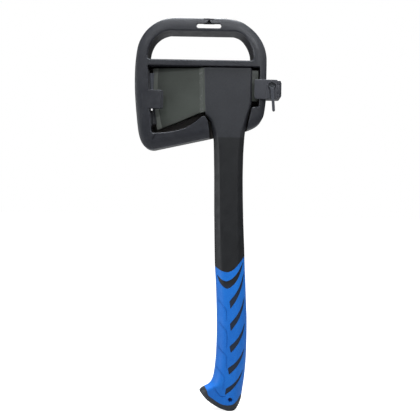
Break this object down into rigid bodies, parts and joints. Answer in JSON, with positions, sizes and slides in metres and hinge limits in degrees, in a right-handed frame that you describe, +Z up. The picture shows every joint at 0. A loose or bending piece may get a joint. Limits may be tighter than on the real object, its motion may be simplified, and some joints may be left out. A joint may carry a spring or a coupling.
{
  "type": "hatchet with locking blade guard",
  "caption": "Hatchet with forged wedge head, hollow moulded handle and soft grip, held by its head in a framed blade guard with carry handle, swinging flap and turning lock lever.",
  "frame": {"origin": "centre of the lanyard hole through the butt, on the tool's middle plane", "axes": "+Z up the handle towards the head, -X towards the cutting edge, +X towards the poll, -Y towards the open front of the guard"},
  "size_m": [0.1873, 0.0405, 0.5012],
  "materials": {
    "coated_steel": "dark olive-grey satin coating, ground bevel a little brighter",
    "handle_nylon": "fine-grained charcoal black",
    "grip_blue": "vivid blue soft overmould, satin",
    "cap_black": "black, scuffed at the lowest edge",
    "liner_grey": "grey, matt",
    "guard_black": "fine spark-eroded texture, charcoal",
    "pin_steel": "bright drawn wire",
    "flap_grey": "fine texture, a little lighter than the guard",
    "lever_grey": "smooth moulded grey",
    "ring_steel": "stamped spring steel"
  },
  "bodies": {
    "hatchet": {"head": "coated_steel", "handle": "handle_nylon", "grip": "grip_blue", "butt_cap": "cap_black", "edge_liner": "liner_grey"},
    "guard": {"guard_frame": "guard_black", "hinge_pin": "pin_steel"},
    "flap": {"latch_flap": "flap_grey"},
    "lever": {"lock_lever": "lever_grey", "retaining_ring": "ring_steel"}
  },
  "joints": [
    {"name": "guard_tilt", "type": "hinge", "parent": "hatchet", "child": "guard", "pos_m": [-0.1076, 0, 0.384], "axis": [-0.0628, 0, 0.998], "range_deg": [0, 28]},
    {"name": "flap_swing", "type": "hinge", "parent": "guard", "child": "flap", "pos_m": [0.054, -0.0167, 0.3962], "axis": [0, 0, 1], "range_deg": [0, 168]},
    {"name": "lever_turn", "type": "hinge", "parent": "flap", "child": "lever", "pos_m": [0.0456, -0.0185, 0.4], "axis": [0, 1, 0], "range_deg": [0, 90]}
  ],
  "couplings": [
    {"joint": "flap_swing", "follows": "guard_tilt", "ratio": 6}
  ]
}
